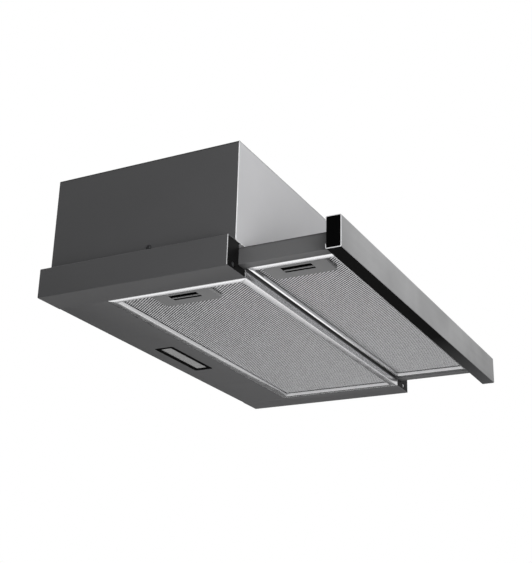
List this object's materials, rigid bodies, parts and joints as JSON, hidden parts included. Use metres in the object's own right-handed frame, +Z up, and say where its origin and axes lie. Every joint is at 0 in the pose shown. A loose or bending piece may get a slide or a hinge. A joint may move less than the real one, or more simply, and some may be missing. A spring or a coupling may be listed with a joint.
{
  "type": "pull out range hood",
  "caption": "Slim cooker hood for a cabinet: a tray with grease filters and a lamp, a blower housing with a duct collar, and a drawer with its own filter that pulls out.",
  "frame": {"origin": "middle of the back face's bottom edge", "axes": "+X to the right seen from the front, +Y towards the wall, +Z up; the drawer is drawn pulled out"},
  "size_m": [0.6, 0.4225, 0.215],
  "materials": {
    "dark_paint": "satin dark grey paint",
    "front_sheet": "satin light grey coat",
    "brushed_panel": "brushed lengthways",
    "filter_aluminium": "satin",
    "handle_sheet": "satin mid grey",
    "zinc_sheet": "zinc plated",
    "steel": "plain",
    "black_moulding": "fine matt",
    "grey_moulding": "fine matt",
    "red_moulding": "fine matt",
    "soft_rubber": "matt",
    "lamp_cover": "frosted",
    "board_white": "solder mask"
  },
  "bodies": {
    "chassis": {"side_frame_left": "dark_paint", "side_frame_right": "dark_paint", "rear_panel": "dark_paint", "guide_block_left": "black_moulding", "guide_block_right": "black_moulding", "runner_left": "zinc_sheet", "runner_right": "zinc_sheet", "housing_left": "dark_paint", "housing_right": "dark_paint", "housing_front": "front_sheet", "housing_back": "dark_paint", "housing_top": "dark_paint", "duct_collar": "black_moulding", "flap_pin": "steel", "scroll_wrap": "black_moulding", "scroll_side_left": "black_moulding", "scroll_side_right": "black_moulding", "motor": "zinc_sheet", "motor_bracket": "zinc_sheet", "motor_grommets": "soft_rubber", "terminal_box": "black_moulding", "terminal_lid": "black_moulding", "cable_gland": "black_moulding", "capacitor": "zinc_sheet", "lamp_bezel": "black_moulding", "lamp_lens": "lamp_cover", "lamp_board": "board_white", "limit_switch": "black_moulding", "body_screws": "steel"},
    "drawer": {"drawer_left": "dark_paint", "drawer_right": "dark_paint", "drawer_top": "dark_paint", "drawer_rear_bar": "dark_paint", "slide_left": "zinc_sheet", "slide_right": "zinc_sheet", "panel_skin": "brushed_panel", "panel_back": "dark_paint", "panel_cap_left": "black_moulding", "panel_cap_right": "black_moulding", "panel_screws": "steel", "switch_plate": "black_moulding"},
    "rear_filter": {"rear_filter_frame": "filter_aluminium", "rear_filter_mesh": "filter_aluminium", "rear_filter_screen": "filter_aluminium", "rear_handle_plate": "handle_sheet"},
    "front_filter": {"front_filter_frame": "filter_aluminium", "front_filter_mesh": "filter_aluminium", "front_filter_screen": "filter_aluminium", "front_handle_plate": "handle_sheet"},
    "rear_filter_latch": {"rear_latch": "handle_sheet"},
    "front_filter_latch": {"front_latch": "handle_sheet"},
    "fan": {"impeller": "black_moulding", "fan_shaft": "steel"},
    "rear_flap": {"flap_rear": "black_moulding"},
    "front_flap": {"flap_front": "black_moulding"},
    "light_switch_slider": {"light_slider": "grey_moulding"},
    "speed_switch_slider": {"speed_slider": "grey_moulding"},
    "plunger": {"switch_plunger": "red_moulding"}
  },
  "joints": [
    {"name": "drawer_slide", "type": "slide", "parent": "chassis", "child": "drawer", "axis": [0, -1, 0], "range_m": [-0.1245, 0]},
    {"name": "rear_filter_drop", "type": "hinge", "parent": "chassis", "child": "rear_filter", "pos_m": [0.2535, -0.17725, 0], "axis": [0, -1, 0], "range_deg": [0, 35]},
    {"name": "front_filter_drop", "type": "hinge", "parent": "drawer", "child": "front_filter", "pos_m": [0.2535, -0.3395, 0.0125], "axis": [0, -1, 0], "range_deg": [0, 35]},
    {"name": "rear_latch_slide", "type": "slide", "parent": "rear_filter", "child": "rear_filter_latch", "axis": [1, 0, 0], "range_m": [0, 0.0035], "stiffness_N_per_m": 400},
    {"name": "front_latch_slide", "type": "slide", "parent": "front_filter", "child": "front_filter_latch", "axis": [1, 0, 0], "range_m": [0, 0.0035], "stiffness_N_per_m": 400},
    {"name": "fan_spin", "type": "hinge", "parent": "chassis", "child": "fan", "pos_m": [0, -0.179, 0.10484], "axis": [1, 0, 0], "continuous": true},
    {"name": "rear_flap_swing", "type": "hinge", "parent": "chassis", "child": "rear_flap", "pos_m": [0, -0.139, 0.189], "axis": [1, 0, 0], "range_deg": [0, 70]},
    {"name": "front_flap_swing", "type": "hinge", "parent": "chassis", "child": "front_flap", "pos_m": [0, -0.139, 0.189], "axis": [-1, 0, 0], "range_deg": [0, 70]},
    {"name": "light_slide", "type": "slide", "parent": "drawer", "child": "light_switch_slider", "axis": [1, 0, 0], "range_m": [0, 0.008]},
    {"name": "speed_slide", "type": "slide", "parent": "drawer", "child": "speed_switch_slider", "axis": [1, 0, 0], "range_m": [0, 0.024]},
    {"name": "plunger_press", "type": "slide", "parent": "chassis", "child": "plunger", "axis": [0, 1, 0], "range_m": [0, 0.0015], "stiffness_N_per_m": 200}
  ]
}
